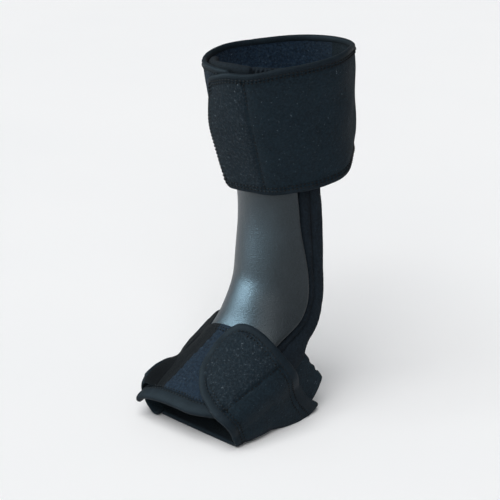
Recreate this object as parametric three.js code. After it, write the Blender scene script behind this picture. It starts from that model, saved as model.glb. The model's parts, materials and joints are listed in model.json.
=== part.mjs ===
// Dorsal ankle foot orthosis, the kind worn at night. A moulded shell runs down the front of a left
// shin and over the instep, a padded liner lies under it, and two wide wraps hold it to the calf and
// to the middle of the foot.
// Millimetres, +Z up, toes towards -Y, outer (lateral) side of the foot towards +X.
// The origin is the middle of the flat underside of the foot wrap.
import * as THREE from "three";

// ---------------------------------------------------------------- driving dimensions
const TOP_Z = 335; // height of the upper end of the leg surface
const ANKLE_Z = 130; // height at which the shin starts to turn into the instep
const BEND_Y = -18; // the axis that the sections of the ankle turn about lies at y = BEND_Y, z = ANKLE_Z
const BEND_ARC = 95; // length given to the ankle bend along the leg
const SOLE_Z = 4.5; // height of the skin of the sole above the floor

// Offsets from the skin of the inner and outer face of each layer. Neighbours keep GAP between them.
const LINER = [0, 5.5];
const HOOK = [6, 6.6];
const SHELL = [7.1, 10.1];
const LOOP = [10.4, 13.4];
const HOOK_PATCH = [13.7, 14.7];
const TAB = [15, 18];
const FLAP_THICKNESS = 3.5;
const GAP = 0.3;

const SHANK = TOP_Z - ANKLE_Z; // s at the start of the ankle bend
const FOOT = SHANK + BEND_ARC; // s at the end of the ankle bend
const radians = THREE.MathUtils.degToRad;
const lerp = THREE.MathUtils.lerp;
const smooth = (x, low, high) => THREE.MathUtils.smoothstep(x, low, high);

// ---------------------------------------------------------------- the leg inside the wraps
// A smooth curve through a few [s, value] pairs.
function keyed(pairs) {
  const slope = pairs.map(([s, v], i) => {
    const [s0, v0] = pairs[Math.max(i - 1, 0)];
    const [s1, v1] = pairs[Math.min(i + 1, pairs.length - 1)];
    return (v1 - v0) / (s1 - s0);
  });
  return (s) => {
    let i = 0;
    while (i < pairs.length - 2 && s > pairs[i + 1][0]) i += 1;
    const [s0, v0] = pairs[i];
    const [s1, v1] = pairs[i + 1];
    const w = s1 - s0;
    const t = (s - s0) / w;
    if (t < 0) return v0 + slope[i] * (s - s0);
    if (t > 1) return v1 + slope[i + 1] * (s - s1);
    return (
      v0 * (1 + 2 * t) * (1 - t) ** 2 +
      slope[i] * w * t * (1 - t) ** 2 +
      v1 * t * t * (3 - 2 * t) +
      slope[i + 1] * w * t * t * (t - 1)
    );
  };
}

// s runs down the shin, round the ankle and along the foot. From the section's reference line at
// y = BEND_Y or z = ANKLE_Z the front of the skin is frontDepth away, and the section is an ellipse.
const frontDepth = keyed([
  [-10, 4],
  [0, 7],
  [60, 24.7],
  [110, 39.5],
  [150, 44],
  [SHANK, 37],
  [SHANK + 45, 36],
  [FOOT - 25, 47],
  [FOOT, 67],
  [FOOT + 60, 112],
]);
const halfWidth = keyed([
  [-10, 59],
  [0, 58],
  [60, 52],
  [110, 47],
  [170, 43],
  [SHANK, 41],
  [SHANK + 45, 42],
  [FOOT, 50],
  [FOOT + 60, 50],
]);
const halfDepth = keyed([
  [-10, 62.7],
  [0, 61.5],
  [60, 54.1],
  [110, 48],
  [170, 47],
  [SHANK, 47],
  [SHANK + 63, 59],
  [FOOT, 34],
  [FOOT + 60, 10],
]);

// Reference point and inward direction of the section at s, as [y, z] pairs.
function section(s) {
  if (s < SHANK) return { ref: [BEND_Y, TOP_Z - s], inward: [1, 0] };
  if (s > FOOT) return { ref: [BEND_Y - (s - FOOT), ANKLE_Z], inward: [0, -1] };
  const turn = ((s - SHANK) / BEND_ARC) * (Math.PI / 2);
  return { ref: [BEND_Y, ANKLE_Z], inward: [Math.cos(turn), -Math.sin(turn)] };
}

// The skin at s and at angle a, in degrees: 0 is the front of the shin, 90 its outer side and 180 the
// back or the sole.
function skin(s, a) {
  const { ref, inward } = section(s);
  // Below its widest level the foot is squarer than an ellipse, as the wrap pulls flat over the sole.
  const turned = Math.abs(a % 360);
  const below = turned > 90 && turned < 270;
  const power = below ? lerp(1, 0.55, smooth(s, SHANK + 10, FOOT - 20)) : 1;
  const [sine, cosine] = [Math.sin(radians(a)), Math.cos(radians(a))].map(
    (x) => Math.sign(x) * Math.abs(x) ** power,
  );
  const depth = frontDepth(s) + halfDepth(s) * (1 - cosine);
  return new THREE.Vector3(
    halfWidth(s) * sine,
    ref[0] + inward[0] * depth,
    ref[1] + inward[1] * depth,
  );
}

// The point at an offset of d outside the skin. The sole is flat.
function leg(s, a, d) {
  const along = skin(s + 0.5, a).sub(skin(s - 0.5, a));
  const across = skin(s, a + 0.5).sub(skin(s, a - 0.5));
  const outward = across.cross(along).normalize().negate();
  const p = skin(s, a).addScaledVector(outward, d);
  p.z = Math.max(p.z, SOLE_Z - Math.min(d, SOLE_Z));
  return p;
}

// ---------------------------------------------------------------- solids
const shared = {
  shell: ["#2b3036", 0.42, 0],
  liner: ["#171c22", 0.95, 0],
  wrap: ["#1b2129", 0.95, 0],
  loop: ["#22303f", 1, 0],
  binding: ["#20272e", 0.9, 0],
  hook: ["#101214", 0.8, 0],
};
function material(slot) {
  const [color, roughness, metalness] = shared[slot];
  return new THREE.MeshStandardMaterial({ color, roughness, metalness });
}

const always = (value) => () => value;
const evenly = (n) => Array.from({ length: n + 1 }, (_, i) => i / n);

// A closed sheet: at(u, v) gives its inner and outer corner for u and v from 0 to 1.
function sheet(name, slot, us, vs, at) {
  const positions = [];
  const index = [];
  for (const u of us) {
    for (const v of vs) {
      const [inner, outer] = at(u, v);
      positions.push(...inner.toArray(), ...outer.toArray());
    }
  }
  const m = vs.length;
  const inner = (i, j) => 2 * (i * m + j);
  const outer = (i, j) => inner(i, j) + 1;
  const quad = (a, b, c, d) => index.push(a, b, c, a, c, d);
  for (let i = 0; i < us.length - 1; i += 1) {
    for (let j = 0; j < m - 1; j += 1) {
      quad(outer(i, j), outer(i + 1, j), outer(i + 1, j + 1), outer(i, j + 1));
      quad(inner(i, j), inner(i, j + 1), inner(i + 1, j + 1), inner(i + 1, j));
    }
    quad(inner(i, 0), inner(i + 1, 0), outer(i + 1, 0), outer(i, 0));
    quad(outer(i, m - 1), outer(i + 1, m - 1), inner(i + 1, m - 1), inner(i, m - 1));
  }
  const last = us.length - 1;
  for (let j = 0; j < m - 1; j += 1) {
    quad(inner(0, j + 1), inner(0, j), outer(0, j), outer(0, j + 1));
    quad(inner(last, j), inner(last, j + 1), outer(last, j + 1), outer(last, j));
  }
  const geometry = new THREE.BufferGeometry();
  geometry.setAttribute("position", new THREE.Float32BufferAttribute(positions, 3));
  geometry.setIndex(index);
  if (volume(geometry) < 0) {
    geometry.setIndex(index.reverse());
  }
  geometry.computeVertexNormals();
  const mesh = new THREE.Mesh(geometry, material(slot));
  mesh.name = name;
  return mesh;
}

function volume(geometry) {
  const p = geometry.getAttribute("position");
  const [a, b, c] = [new THREE.Vector3(), new THREE.Vector3(), new THREE.Vector3()];
  let sum = 0;
  for (let i = 0; i < geometry.index.count; i += 3) {
    [a, b, c].forEach((q, k) => q.fromBufferAttribute(p, geometry.index.getX(i + k)));
    sum += a.dot(b.cross(c)) / 6;
  }
  return sum;
}

// A sheet on the leg. from and to are its angles, start(a) and end(a) its ends along the leg at each
// angle, and layer(a, s, u, v) its [inner, outer] offsets. rows run along the leg and columns round it.
function wrapped(name, slot, { from, to, start, end, layer, columns, rows }) {
  return sheet(name, slot, evenly(columns), evenly(rows), (u, v) => {
    const a = lerp(from, to, u);
    const s = lerp(start(a), end(a), v);
    const [inner, outer] = layer(a, s, u, v);
    return [leg(s, a, inner), leg(s, a, outer)];
  });
}

// A sheet down the leg between two angles that change along it. shift(a) moves it along the leg.
function lengthwise(name, slot, options) {
  const { start, end, left, right, layer, rows, columns, shift = always(0) } = options;
  return sheet(name, slot, evenly(rows), evenly(columns), (u, v) => {
    const s = lerp(start, end, u);
    const a = lerp(left(s), right(s), v);
    const [inner, outer] = layer(a, s, u, v);
    const moved = s + shift(a);
    return [leg(moved, a, inner), leg(moved, a, outer)];
  });
}

// The free edges of a tab, set in by margin, as [along, out] points in millimetres: out along one side,
// round a corner, down the tip and back along the other side. corner is the radius of its corners.
function tabOutline(length, reach, corner, margin) {
  const r = Math.max(corner - margin, 1);
  const side = reach - margin - r;
  const out = [0, 1, 2, 3].map((k) => [margin, (side * k) / 4]);
  const bend = evenly(6).map((t) => [
    margin + r - r * Math.cos((t * Math.PI) / 2),
    side + r * Math.sin((t * Math.PI) / 2),
  ]);
  const tip = [1, 2, 3].map((k) => [lerp(margin + r, length - margin - r, k / 4), reach - margin]);
  const first = [...out, ...bend];
  return [...first, ...tip, ...first.map(([x, y]) => [length - x, y]).reverse()];
}

// A wrap's free end: a panel, the edging round it and the hook patch under it. start and end are its
// edges along the leg, seam is its angle at the flap, tip(s) the angle of its free edge and width the
// width of its edging. shift(a, s) moves it along the leg and stand(a, s) lifts it off.
function tab(name, options) {
  const { start, end, seam, tip, corner, width, shift = always(0), stand = always(0) } = options;
  const reach = seam - tip((start + end) / 2); // degrees, taken as millimetres for the outline
  const place = ([x, y], v, [inner, outer]) => {
    const s = start + x;
    const a = seam + ((tip(s) - seam) * y * v) / reach;
    const [moved, lift] = [s + shift(a, s), stand(a, s)];
    return [leg(moved, a, inner + lift), leg(moved, a, outer + lift)];
  };
  const panel = (suffix, slot, margin, first, layer) => {
    const edge = tabOutline(end - start, reach, corner, margin).slice(4, -4);
    return sheet(name + suffix, slot, evenly(edge.length - 1), evenly(8), (u, v) =>
      place(edge[Math.round(u * (edge.length - 1))], lerp(first, 1, v), layer),
    );
  };
  const outer = tabOutline(end - start, reach, corner, 0);
  const inner = tabOutline(end - start, reach, corner, width);
  return [
    panel("", "wrap", width + 2 * GAP, 0, TAB),
    panel("_hook", "hook", width + 3, 0.15, HOOK_PATCH),
    sheet(name + "_edging", "binding", evenly(outer.length - 1), evenly(3), (u, v) => {
      const i = Math.round(u * (outer.length - 1));
      const bulge = 0.8 * Math.sin(Math.PI * v);
      const point = [lerp(outer[i][0], inner[i][0], v), lerp(outer[i][1], inner[i][1], v)];
      return place(point, 1, [HOOK_PATCH[0] + 0.6, TAB[1] + bulge]);
    }),
  ];
}

const group = new THREE.Group();
const add = (...meshes) => group.add(...meshes);
// The cross section of a padded roll: how far it stands up at v from 0 to 1 across it.
const roll = (v) => Math.sqrt(Math.max(0.04, 1 - (2 * v - 1) ** 2));

// ---------------------------------------------------------------- shell
const SHELL_TOP = 20;
const SHELL_END = FOOT + 28;
const shellEdge = keyed([
  [SHELL_TOP, 42],
  [110, 44.5],
  [145, 46],
  [163, 49],
  [SHANK - 14, 59.5],
  [SHANK + 8, 63.5],
  [SHANK + 32, 63],
  [SHANK + 47, 58],
  [SHANK + 62, 49.5],
  [FOOT, 42],
  [SHELL_END, 38],
]);
add(
  lengthwise("dorsal_shell", "shell", {
    start: SHELL_TOP,
    end: SHELL_END,
    left: (s) => -shellEdge(s),
    right: shellEdge,
    layer: always(SHELL),
    rows: 36,
    columns: 12,
  }),
);
// Hook strips hold the shell to the pad.
for (const [name, start, end] of [
  ["hook_strip_upper_shin", 30, 90],
  ["hook_strip_lower_shin", 120, 190],
  ["hook_strip_instep", FOOT - 30, FOOT + 25],
]) {
  add(
    lengthwise(name, "hook", {
      start,
      end,
      left: always(-16),
      right: always(16),
      layer: always(HOOK),
      rows: 10,
      columns: 4,
    }),
  );
}

// ---------------------------------------------------------------- liner
const LINER_TOP = 18;
const LINER_END = FOOT + 38;
// The flat liner that shows beside the shell is narrower round the ankle, in degrees.
const margin = (s) => 12 - 4 * smooth(s, 150, 200);
const linerSeam = (s) => shellEdge(s) + margin(s);
const rollWidth = (s) => 11 + 7 * smooth(s, SHANK + 45, SHANK + 62);
add(
  lengthwise("liner_pad", "liner", {
    start: LINER_TOP,
    end: LINER_END,
    left: (s) => -shellEdge(s),
    right: shellEdge,
    layer: always(LINER),
    rows: 36,
    columns: 12,
  }),
);
for (const [side, sign] of [
  ["lateral", 1],
  ["medial", -1],
]) {
  const gap = 0.8; // degrees between neighbouring parts of the liner
  const shared = { start: LINER_TOP, end: SHANK + 75, rows: 24 };
  add(
    lengthwise("liner_margin_" + side, "liner", {
      ...shared,
      left: (s) => sign * (shellEdge(s) + gap),
      right: (s) => sign * linerSeam(s),
      layer: always([0, 6.8]),
      columns: 2,
    }),
    lengthwise("liner_roll_" + side, "liner", {
      ...shared,
      left: (s) => sign * (linerSeam(s) + gap),
      right: (s) => sign * (linerSeam(s) + rollWidth(s)),
      layer: (a, s, u, v) => [0, 4 + 5 * roll(v)],
      columns: 4,
    }),
  );
}
// The rolled upper end of the liner. Its outer part is a gathered elastic gusset.
for (const [name, from, to, bulge, columns] of [
  ["liner_collar", -58, 22, 4, 14],
  ["collar_gusset", 22.5, 60, 3, 8],
]) {
  add(
    wrapped(name, "liner", {
      from,
      to,
      start: (a) => 11 - 9 * smooth(a, -60, 10),
      end: always(LINER_TOP - GAP),
      layer: (a, s, u, v) => [-1, 5 + bulge * roll(v)],
      columns,
      rows: 4,
    }),
  );
}

// ---------------------------------------------------------------- calf wrap
// The wrap lies over the shell in front and on the calf behind.
const overShell = (a) => lerp(LOOP[0], 0.5, smooth(Math.abs(a), 82, 125));
const calfTop = keyed([
  [-106, 8],
  [-50, 8],
  [-32, 6.5],
  [0, 4.5],
  [18, 4],
  [35, 1],
  [50, -2],
  [98, -7],
  [136, -2],
  [180, 2],
  [256, 8],
]);
const calfBottom = (a) => 122 - 12 * (1 - Math.cos(radians(a)));
const WING_END = 6;
const CALF_HINGE = 255; // angle of the hinge line between the wing and the back panel
const FLAP_HINGE = 100; // and between the back panel and the flap
const CALF_SEAM = 18;
const EDGING = 6;
const STEP = 1; // half of the gap at a hinge line, in degrees
const flapRaised = (a) => (TAB[0] - LOOP[0] - 1) * (1 - smooth(a, 22, 48));
for (const [name, slot, from, to, raised, columns] of [
  ["calf_wing", "loop", CALF_HINGE - 360 + STEP, WING_END, always(0), 16],
  ["calf_back", "wrap", FLAP_HINGE + STEP, CALF_HINGE - STEP, always(0), 18],
  ["calf_flap", "wrap", CALF_SEAM + STEP / 2, FLAP_HINGE - STEP, flapRaised, 12],
]) {
  const layer = (a) => {
    const inner = overShell(a > 180 ? a - 360 : a) + raised(a);
    return [inner, inner + (slot === "loop" ? LOOP[1] - LOOP[0] : FLAP_THICKNESS)];
  };
  const shared = { from, to, columns, layer };
  const top = calfTop;
  add(
    wrapped(name, slot, {
      ...shared,
      start: (a) => top(a) + EDGING,
      end: (a) => calfBottom(a) - EDGING,
      rows: 4,
    }),
    wrapped(name + "_top_edging", "binding", {
      ...shared,
      start: top,
      end: (a) => top(a) + EDGING - GAP,
      rows: 1,
    }),
    wrapped(name + "_bottom_edging", "binding", {
      ...shared,
      start: (a) => calfBottom(a) - EDGING + GAP,
      end: calfBottom,
      rows: 1,
    }),
  );
}
add(
  ...tab("calf_tab", {
    start: calfTop(CALF_SEAM),
    end: calfBottom(CALF_SEAM),
    seam: CALF_SEAM - STEP / 2,
    tip: (s) => -17 - 10 * smooth(s, 0, 75) + 5 * smooth(s, 80, 130),
    corner: 9,
    width: 5,
    shift: (a, s) => 8 * smooth(CALF_SEAM - a, 8, 34) * (1 - smooth(s, 0, 85)),
    stand: (a, s) => 6 * smooth(CALF_SEAM - a, 8, 42) * smooth(s, 0, 60),
  }),
);

// ---------------------------------------------------------------- foot wrap
const FOOT_BACK = SHANK + 64;
const FOOT_FRONT = FOOT + 40;
const FOOT_SEAM = 58;
const SOLE_EDGE_FRONT = 45; // half of the sole panel's width at its front edge
const SOLE_EDGE_BACK = 38; // and at its back edge
const toeEdge = (a) => FOOT + 57 - 12 * smooth(a, 10, 75);
// The flap leans forward as it climbs over the side of the foot.
const lean = (a) => 11 * smooth(a, 5, 60) * (1 - smooth(a, 82, 112));
const along = (s) => (s - FOOT_BACK) / (FOOT_FRONT - FOOT_BACK);
// The angle at which the section at s reaches the edge of the sole panel.
function soleAngle(s) {
  const x = lerp(SOLE_EDGE_BACK, SOLE_EDGE_FRONT, along(s));
  let [low, high] = [100, 178];
  for (let i = 0; i < 30; i += 1) {
    const middle = (low + high) / 2;
    if (leg(s, middle, 2).x > x) low = middle;
    else high = middle;
  }
  return low;
}

add(
  wrapped("foot_loop_panel", "loop", {
    from: -50,
    to: 62,
    start: always(SHANK + 76),
    end: (a) => toeEdge(a) - 12 - GAP,
    layer: always(LOOP),
    columns: 16,
    rows: 10,
  }),
  wrapped("toe_edging", "binding", {
    from: -88,
    to: 70,
    start: (a) => toeEdge(a) - 12,
    end: toeEdge,
    layer: (a, s, u, v) => [6.5, 9.2 + 4 * roll(v)],
    columns: 18,
    rows: 4,
  }),
  lengthwise("foot_lateral_wing", "wrap", {
    start: SHANK + 55,
    end: SHANK + 88,
    left: always(90),
    right: always(106),
    layer: always([0.3, 2.9]),
    rows: 6,
    columns: 4,
  }),
);

// The inner (medial) wing leaves the sole at its edge and stands away from the foot at its free upper
// edge, with a notch between its two humps.
const crest = keyed([
  [SHANK + 60, 6],
  [SHANK + 67, 7.9],
  [SHANK + 82, 5.7],
  [FOOT - 7, 4.2],
  [FOOT + 5, 1.7],
  [FOOT + 11, 2.2],
  [FOOT + 17, 4.2],
  [FOOT + 23, 6.7],
  [FOOT + 32, 8.7],
  [FOOT + 41, 8.7],
  [FOOT + 47, 5.7],
]);
const wingLayer = (thickness) => (a, s, u, v) => {
  const rise = 1 - v;
  const inner = 0.5 + 9.8 * smooth(rise, 0.1, 0.6) + crest(s) * rise ** 2.5;
  return [inner, inner + thickness];
};
const WING_TIP = -62;
add(
  lengthwise("foot_medial_wing", "wrap", {
    start: SHANK + 60,
    end: FOOT + 46,
    left: always(WING_TIP),
    right: (s) => -soleAngle(Math.min(Math.max(s, FOOT_BACK), FOOT_FRONT)) + 1,
    layer: wingLayer(3),
    rows: 20,
    columns: 8,
  }),
  lengthwise("foot_medial_wing_edging", "binding", {
    start: SHANK + 60,
    end: FOOT + 46,
    left: always(WING_TIP + 6),
    right: always(WING_TIP + 0.4),
    layer: (a, s) => {
      const inner = 0.5 + 9.8 + crest(s);
      return [inner - 0.4, inner + 3.4];
    },
    rows: 20,
    columns: 2,
  }),
);

const solePlate = (name, slot, start, end, rows) =>
  lengthwise(name, slot, {
    start,
    end,
    left: soleAngle,
    right: (s) => 360 - soleAngle(s),
    layer: always([0.5, SOLE_Z]),
    rows,
    columns: 8,
  });
const FOOT_EDGING = 8;
add(
  solePlate("foot_sole", "wrap", FOOT_BACK + FOOT_EDGING, FOOT_FRONT - FOOT_EDGING, 8),
  solePlate("foot_sole_back_edging", "binding", FOOT_BACK, FOOT_BACK + FOOT_EDGING - GAP, 2),
  solePlate("foot_sole_front_edging", "binding", FOOT_FRONT - FOOT_EDGING + GAP, FOOT_FRONT, 2),
);

// The flap is hinged at the outer edge of the sole panel and runs up over the instep to the tab.
const flapWall = (name, slot, start, end, rows) =>
  lengthwise(name, slot, {
    start,
    end,
    left: always(FOOT_SEAM + 1),
    right: (s) => soleAngle(s) - 1,
    layer: (a, s, u, v) => {
      const low = lerp(4, 0.5, smooth(v, 0.7, 0.88));
      const inner = lerp(TAB[0] - 1, low, smooth(a, 68, 92));
      return [inner, inner + lerp(FLAP_THICKNESS, SOLE_Z - 0.5, smooth(v, 0.6, 1))];
    },
    rows,
    columns: 10,
    shift: lean,
  });
add(
  flapWall("foot_flap", "wrap", FOOT_BACK + FOOT_EDGING, FOOT_FRONT - FOOT_EDGING, 8),
  flapWall("foot_flap_back_edging", "binding", FOOT_BACK, FOOT_BACK + FOOT_EDGING - GAP, 2),
  flapWall("foot_flap_front_edging", "binding", FOOT_FRONT - FOOT_EDGING + GAP, FOOT_FRONT, 2),
  ...tab("foot_tab", {
    start: FOOT_BACK,
    end: FOOT_FRONT,
    seam: FOOT_SEAM - 1,
    tip: always(-1),
    corner: 30,
    width: 7,
    shift: lean,
  }),
);

export default group;
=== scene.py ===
"""The looks of a dorsal ankle foot orthosis: a moulded shell on a padded liner, and two soft wraps."""

import json
import math

import bmesh
import bpy
import numpy as np
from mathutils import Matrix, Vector


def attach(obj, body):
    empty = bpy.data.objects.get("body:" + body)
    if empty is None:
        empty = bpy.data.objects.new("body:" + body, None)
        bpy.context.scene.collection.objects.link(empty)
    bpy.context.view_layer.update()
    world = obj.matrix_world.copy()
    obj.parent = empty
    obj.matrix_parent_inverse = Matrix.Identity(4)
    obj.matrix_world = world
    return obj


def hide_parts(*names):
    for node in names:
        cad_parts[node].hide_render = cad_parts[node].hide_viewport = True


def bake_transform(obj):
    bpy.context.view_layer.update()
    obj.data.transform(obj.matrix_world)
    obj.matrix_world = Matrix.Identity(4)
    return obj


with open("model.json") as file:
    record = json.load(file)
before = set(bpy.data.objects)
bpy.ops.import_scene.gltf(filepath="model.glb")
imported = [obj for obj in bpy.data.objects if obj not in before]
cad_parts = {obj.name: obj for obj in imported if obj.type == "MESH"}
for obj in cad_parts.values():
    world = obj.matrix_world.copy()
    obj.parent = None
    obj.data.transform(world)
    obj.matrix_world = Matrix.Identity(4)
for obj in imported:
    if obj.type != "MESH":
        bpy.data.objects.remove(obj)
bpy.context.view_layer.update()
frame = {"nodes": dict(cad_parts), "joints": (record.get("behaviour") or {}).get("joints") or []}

MM = 0.001

# ---------------------------------------------------------------- the leg inside the wraps
# The same surface as the CAD model's, in millimetres and degrees. s runs down the shin, round the ankle
# and along the foot. a is 0 in front, 90 on the outer side and 180 behind or under the foot. d is the
# offset outside the skin.
TOP_Z, ANKLE_Z, BEND_Y, BEND_ARC, SOLE_Z = 335, 130, -18, 95, 4.5
SHANK = TOP_Z - ANKLE_Z
FOOT = SHANK + BEND_ARC


def smooth(x, low, high):
    t = np.clip((np.asarray(x, float) - low) / (high - low), 0, 1)
    return t * t * (3 - 2 * t)


def lerp(a, b, t):
    return a + (b - a) * t


def bell(x, middle, spread):
    return np.exp(-(((x - middle) / spread) ** 2))


def keyed(pairs):
    """A smooth curve through a few (s, value) pairs."""
    s, v = np.array(pairs, float).T
    slope = np.empty_like(v)
    slope[1:-1] = (v[2:] - v[:-2]) / (s[2:] - s[:-2])
    slope[0] = (v[1] - v[0]) / (s[1] - s[0])
    slope[-1] = (v[-1] - v[-2]) / (s[-1] - s[-2])

    def value(x):
        x = np.asarray(x, float)
        i = np.clip(np.searchsorted(s, x) - 1, 0, len(s) - 2)
        w = s[i + 1] - s[i]
        t = (x - s[i]) / w
        c = np.clip(t, 0, 1)
        inside = (
            v[i] * (1 + 2 * c) * (1 - c) ** 2
            + slope[i] * w * c * (1 - c) ** 2
            + v[i + 1] * c * c * (3 - 2 * c)
            + slope[i + 1] * w * c * c * (c - 1)
        )
        return inside + slope[i] * w * np.minimum(t, 0) + slope[i + 1] * w * np.maximum(t - 1, 0)

    return value


front_depth = keyed([
    (-10, 4), (0, 7), (60, 24.7), (110, 39.5), (150, 44), (SHANK, 37),
    (SHANK + 45, 36), (FOOT - 25, 47), (FOOT, 67), (FOOT + 60, 112),
])
half_width = keyed([
    (-10, 59), (0, 58), (60, 52), (110, 47), (170, 43), (SHANK, 41), (SHANK + 45, 42), (FOOT, 50),
    (FOOT + 60, 50),
])
half_depth = keyed([
    (-10, 62.7), (0, 61.5), (60, 54.1), (110, 48), (170, 47), (SHANK, 47), (SHANK + 63, 59), (FOOT, 34),
    (FOOT + 60, 10),
])


def skin(s, a):
    """Points on the leg itself, in millimetres."""
    turn = np.clip((s - SHANK) / BEND_ARC, 0, 1) * math.pi / 2
    ref_y = BEND_Y - np.maximum(s - FOOT, 0)
    ref_z = ANKLE_Z + np.maximum(SHANK - s, 0)
    r = np.radians(a)
    power = np.where(np.cos(r) < 0, lerp(1, 0.55, smooth(s, SHANK + 10, FOOT - 20)), 1)
    sine = np.sign(np.sin(r)) * np.abs(np.sin(r)) ** power
    cosine = np.sign(np.cos(r)) * np.abs(np.cos(r)) ** power
    depth = front_depth(s) + half_depth(s) * (1 - cosine)
    y, z = ref_y + np.cos(turn) * depth, ref_z - np.sin(turn) * depth
    return np.stack([half_width(s) * sine, y, z], -1)


def outward(s, a):
    """The direction away from the leg."""
    down = skin(s + 0.5, a) - skin(s - 0.5, a)
    across = skin(s, a + 0.5) - skin(s, a - 0.5)
    n = -np.cross(across, down)
    return n / np.linalg.norm(n, axis=-1, keepdims=True)


def leg(s, a, d):
    """Points d outside the skin, in metres. The sole is flat."""
    s, a, d = np.broadcast_arrays(*(np.asarray(x, float) for x in (s, a, d)))
    p = skin(s, a) + outward(s, a) * d[..., None]
    p[..., 2] = np.maximum(p[..., 2], SOLE_Z - np.minimum(d, SOLE_Z))
    return p * MM


def ripple(points, seed, longest, shortest):
    """Smooth unevenness, mostly from -1 to 1, at points in millimetres, made of a few waves."""
    waves = 12
    rng = np.random.default_rng(seed)
    heading = rng.normal(size=(waves, 3))
    heading /= np.linalg.norm(heading, axis=1, keepdims=True)
    length = rng.uniform(shortest, longest, waves)
    phase = rng.uniform(0, 2 * math.pi, waves)
    angle = points @ (heading * (2 * math.pi / length[:, None])).T + phase
    return np.sin(angle).sum(-1) / math.sqrt(waves) / 1.2


# ---------------------------------------------------------------- materials
def linear(hex_colour):
    """A colour written as in a picture, as the shader's linear values."""
    parts = [int(hex_colour[i : i + 2], 16) / 255 for i in (1, 3, 5)]
    return (*(p / 12.92 if p <= 0.04045 else ((p + 0.055) / 1.055) ** 2.4 for p in parts), 1)


class Shader:
    """A short way to write a node material."""

    def __init__(self, name):
        self.material = bpy.data.materials.new(name)
        self.material.use_nodes = True
        self.nodes = self.material.node_tree.nodes
        self.links = self.material.node_tree.links
        self.surface = self.nodes["Principled BSDF"]
        self.where = self.nodes.new("ShaderNodeTexCoord").outputs["Object"]

    def put(self, socket, value):
        if isinstance(value, bpy.types.NodeSocket):
            self.links.new(value, socket)
        else:
            socket.default_value = value

    def add(self, kind, inputs, **properties):
        node = self.nodes.new("ShaderNode" + kind)
        for key, value in properties.items():
            setattr(node, key, value)
        for key, value in inputs.items():
            self.put(node.inputs[key], value)
        return node

    def noise(self, scale, detail=3.0, rough=0.55):
        inputs = {"Vector": self.where, "Scale": scale, "Detail": detail, "Roughness": rough}
        return self.add("TexNoise", inputs).outputs["Fac"]

    def cells(self, scale):
        return self.add("TexVoronoi", {"Vector": self.where, "Scale": scale}).outputs["Distance"]

    def spread(self, value, low, high, to_low=0.0, to_high=1.0):
        """value, from low to high, as to_low to to_high."""
        inputs = {"Value": value, "From Min": low, "From Max": high, "To Min": to_low, "To Max": to_high}
        return self.add("MapRange", inputs).outputs["Result"]

    def mix(self, factor, a, b):
        node = self.add("Mix", {}, data_type="RGBA", clamp_factor=True)
        for name, value in (("Factor", factor), ("A", a), ("B", b)):
            kind = "VALUE" if name == "Factor" else "RGBA"
            self.put(next(i for i in node.inputs if i.name == name and i.type == kind), value)
        return next(o for o in node.outputs if o.type == "RGBA")

    def bump(self, height, strength, distance, under=None):
        inputs = {"Height": height, "Strength": strength, "Distance": distance}
        if under is not None:
            inputs["Normal"] = under
        return self.add("Bump", inputs).outputs["Normal"]

    def finish(self, colour, normal, rough, **constants):
        self.put(self.surface.inputs["Base Color"], colour)
        self.put(self.surface.inputs["Normal"], normal)
        self.put(self.surface.inputs["Roughness"], rough)
        for key, value in constants.items():
            self.surface.inputs[key.replace("_", " ")].default_value = value
        return self.material


def cloth_material(name, dark, light, fleck, fleck_share, pile, fuzz, cell=900):
    """Brushed or knitted fabric: fine cells, a soft nap, uneven colour and a few pale flecks of lint.
    fuzz is how far the brushed surface has gone pale in small tufts."""
    m = Shader(name)
    cells = m.cells(cell)
    nap = m.noise(520, 4, 0.65)
    patches = m.noise(42, 4, 0.6)
    tone = m.mix(m.spread(nap, 0.32, 0.7), linear(dark), linear(light))
    tone = m.mix(m.spread(patches, 0.35, 0.8, 0, 0.45), tone, linear(light))
    tufts = m.noise(430, 6, 0.8)
    tone = m.mix(m.spread(tufts, 0.48, 0.72, 0, fuzz), tone, linear(fleck))
    lint = m.noise(430, 2, 0.8)
    tone = m.mix(m.spread(lint, fleck_share, fleck_share + 0.06, 0, 0.7), tone, linear(fleck))
    normal = m.bump(cells, 0.35, 0.0004)
    normal = m.bump(nap, pile, 0.0011, normal)
    normal = m.bump(patches, 0.4, 0.003, normal)
    normal = m.bump(tufts, 0.5, 0.002, normal)
    constants = {"Specular_IOR_Level": 0.08, "Sheen_Weight": 0.02, "Sheen_Roughness": 0.5}
    return m.finish(tone, normal, m.spread(nap, 0.2, 0.8, 0.75, 1.0), **constants)


def shell_material():
    """Satin moulded plastic with a fine grain and faint scuffs."""
    m = Shader("shell_plastic")
    grain = m.noise(820, 3, 0.6)
    scuffs = m.noise(60, 5, 0.7)
    tone = m.mix(m.spread(grain, 0.35, 0.7), linear("#0b0e11"), linear("#191d21"))
    tone = m.mix(m.spread(scuffs, 0.5, 0.85, 0, 0.35), tone, linear("#22282d"))
    normal = m.bump(grain, 0.4, 0.0009)
    normal = m.bump(scuffs, 0.1, 0.002, normal)
    rough = m.spread(scuffs, 0.3, 0.8, 0.38, 0.46)
    tint = (0.80, 0.93, 1.0, 1)
    return m.finish(tone, normal, rough, Specular_IOR_Level=0.5, Specular_Tint=tint)


def hook_material():
    """Moulded hook tape: rows of tiny stiff hooks."""
    m = Shader("hook_tape")
    hooks = m.cells(620)
    tone = m.mix(m.spread(hooks, 0.1, 0.7), linear("#2c3035"), linear("#0d0f11"))
    normal, rough = m.bump(hooks, 0.8, 0.001), m.spread(hooks, 0, 1, 0.5, 0.7)
    return m.finish(tone, normal, rough, Specular_IOR_Level=0.3)


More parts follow.
